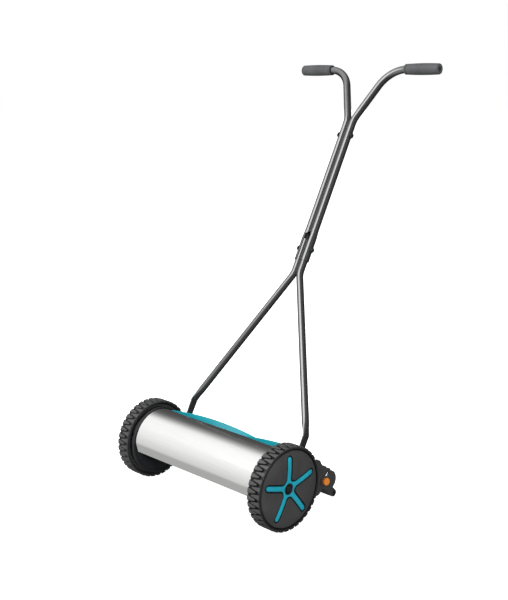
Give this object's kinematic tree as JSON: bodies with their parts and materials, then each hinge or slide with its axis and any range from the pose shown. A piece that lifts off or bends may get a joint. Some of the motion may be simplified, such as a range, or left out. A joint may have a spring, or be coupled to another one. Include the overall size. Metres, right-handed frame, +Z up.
{
  "type": "reel mower",
  "caption": "Push reel mower: geared wheels drive a helical cutting reel behind a bright steel cover, with a rear roller and a fork handle.",
  "frame": {"origin": "on the ground, under the centre of the bounding box", "axes": "+Z up, -Y forward in the mowing direction, +X to the operator's left as seen from in front"},
  "size_m": [0.507, 0.6664, 1.0418],
  "materials": {
    "cover_steel": "bright polished stainless sheet, fine grain along the width",
    "black_steel": "black powder coat",
    "black_plastic": "moulded, fine texture",
    "wheel_plastic": "moulded, satin",
    "tread": "moulded rubber-like tread",
    "teal_plastic": "satin moulded trim",
    "teal_paint": "satin powder coat",
    "frame_paint": "glossy anthracite powder coat",
    "zinc_steel": "zinc plated",
    "knife_steel": "ground edge",
    "bronze": "sintered",
    "nylon": "natural acetal",
    "grip_rubber": "soft matte",
    "orange_plastic": "moulded"
  },
  "bodies": {
    "chassis": {"side_plate_left": "black_steel", "side_plate_right": "black_steel", "gear_cover_left": "black_plastic", "gear_cover_right": "black_plastic", "wheel_axles": "zinc_steel", "axle_retainers": "zinc_steel", "front_cover": "cover_steel", "cover_screws": "zinc_steel", "bed_knife": "knife_steel", "knife_carrier": "black_steel", "knife_screws": "zinc_steel", "knife_adjusters": "zinc_steel", "tie_rods": "frame_paint", "tie_rod_screws": "zinc_steel", "reel_bearings": "bronze", "handle_pivot_bolts": "zinc_steel", "handle_stops": "zinc_steel", "height_pivot_bolts": "black_steel", "catcher_pins": "zinc_steel"},
    "wheel_left": {"wheel_rim_left": "wheel_plastic", "tyre_left": "tread", "ring_gear_left": "black_plastic", "star_left": "teal_plastic", "hub_cap_left": "black_plastic", "wheel_bush_left": "nylon"},
    "wheel_right": {"wheel_rim_right": "wheel_plastic", "tyre_right": "tread", "ring_gear_right": "black_plastic", "star_right": "teal_plastic", "hub_cap_right": "black_plastic", "wheel_bush_right": "nylon"},
    "drive_pinion_left": {"pinion_left": "nylon"},
    "drive_pinion_right": {"pinion_right": "nylon"},
    "reel": {"reel_shaft": "zinc_steel", "reel_spiders": "black_steel", "reel_blade_1": "teal_paint", "reel_blade_2": "teal_paint", "reel_blade_3": "teal_paint", "reel_blade_4": "teal_paint", "reel_blade_5": "teal_paint", "ratchet_pawls": "zinc_steel", "pinion_clips": "zinc_steel"},
    "height_bracket": {"height_arm_left": "black_steel", "height_arm_right": "black_steel", "height_cross_bar": "frame_paint", "roller_axle": "zinc_steel"},
    "roller": {"roller_tube": "black_plastic", "roller_bushes": "nylon"},
    "knob_left": {"height_knob_left": "orange_plastic", "knob_stud_left": "black_steel"},
    "knob_right": {"height_knob_right": "orange_plastic", "knob_stud_right": "black_steel"},
    "handle": {"leg_left": "frame_paint", "leg_right": "frame_paint", "upper_tube_left": "frame_paint", "upper_tube_right": "frame_paint", "grip_left": "grip_rubber", "grip_right": "grip_rubber", "handle_bolts": "black_steel", "handle_nuts": "black_steel"}
  },
  "joints": [
    {"name": "wheel_left_spin", "type": "hinge", "parent": "chassis", "child": "wheel_left", "pos_m": [0.23, -0.23324, 0.1], "axis": [1, 0, 0], "continuous": true},
    {"name": "wheel_right_spin", "type": "hinge", "parent": "chassis", "child": "wheel_right", "pos_m": [-0.23, -0.23324, 0.1], "axis": [1, 0, 0], "continuous": true},
    {"name": "reel_spin", "type": "hinge", "parent": "chassis", "child": "reel", "pos_m": [0, -0.19351, 0.10464], "axis": [1, 0, 0], "continuous": true},
    {"name": "pinion_left_spin", "type": "hinge", "parent": "chassis", "child": "drive_pinion_left", "pos_m": [0.228, -0.19351, 0.10464], "axis": [1, 0, 0], "continuous": true},
    {"name": "pinion_right_spin", "type": "hinge", "parent": "chassis", "child": "drive_pinion_right", "pos_m": [-0.228, -0.19351, 0.10464], "axis": [1, 0, 0], "continuous": true},
    {"name": "height_swing", "type": "hinge", "parent": "chassis", "child": "height_bracket", "pos_m": [0, -0.09124, 0.103], "axis": [1, 0, 0], "range_deg": [0, 24]},
    {"name": "roller_spin", "type": "hinge", "parent": "height_bracket", "child": "roller", "pos_m": [0, -0.01424, 0.0095], "axis": [1, 0, 0], "continuous": true},
    {"name": "knob_left_turn", "type": "hinge", "parent": "height_bracket", "child": "knob_left", "pos_m": [0.212, -0.06624, 0.0597], "axis": [1, 0, 0], "range_deg": [0, 360]},
    {"name": "knob_right_turn", "type": "hinge", "parent": "height_bracket", "child": "knob_right", "pos_m": [-0.212, -0.06624, 0.0597], "axis": [-1, 0, 0], "range_deg": [0, 360]},
    {"name": "handle_fold", "type": "hinge", "parent": "chassis", "child": "handle", "pos_m": [0, -0.15074, 0.13077], "axis": [1, 0, 0], "range_deg": [0, 50]}
  ],
  "couplings": [
    {"joint": "reel_spin", "follows": "wheel_left_spin", "ratio": 3.8571},
    {"joint": "pinion_left_spin", "follows": "wheel_left_spin", "ratio": 3.8571},
    {"joint": "pinion_right_spin", "follows": "wheel_right_spin", "ratio": 3.8571}
  ]
}
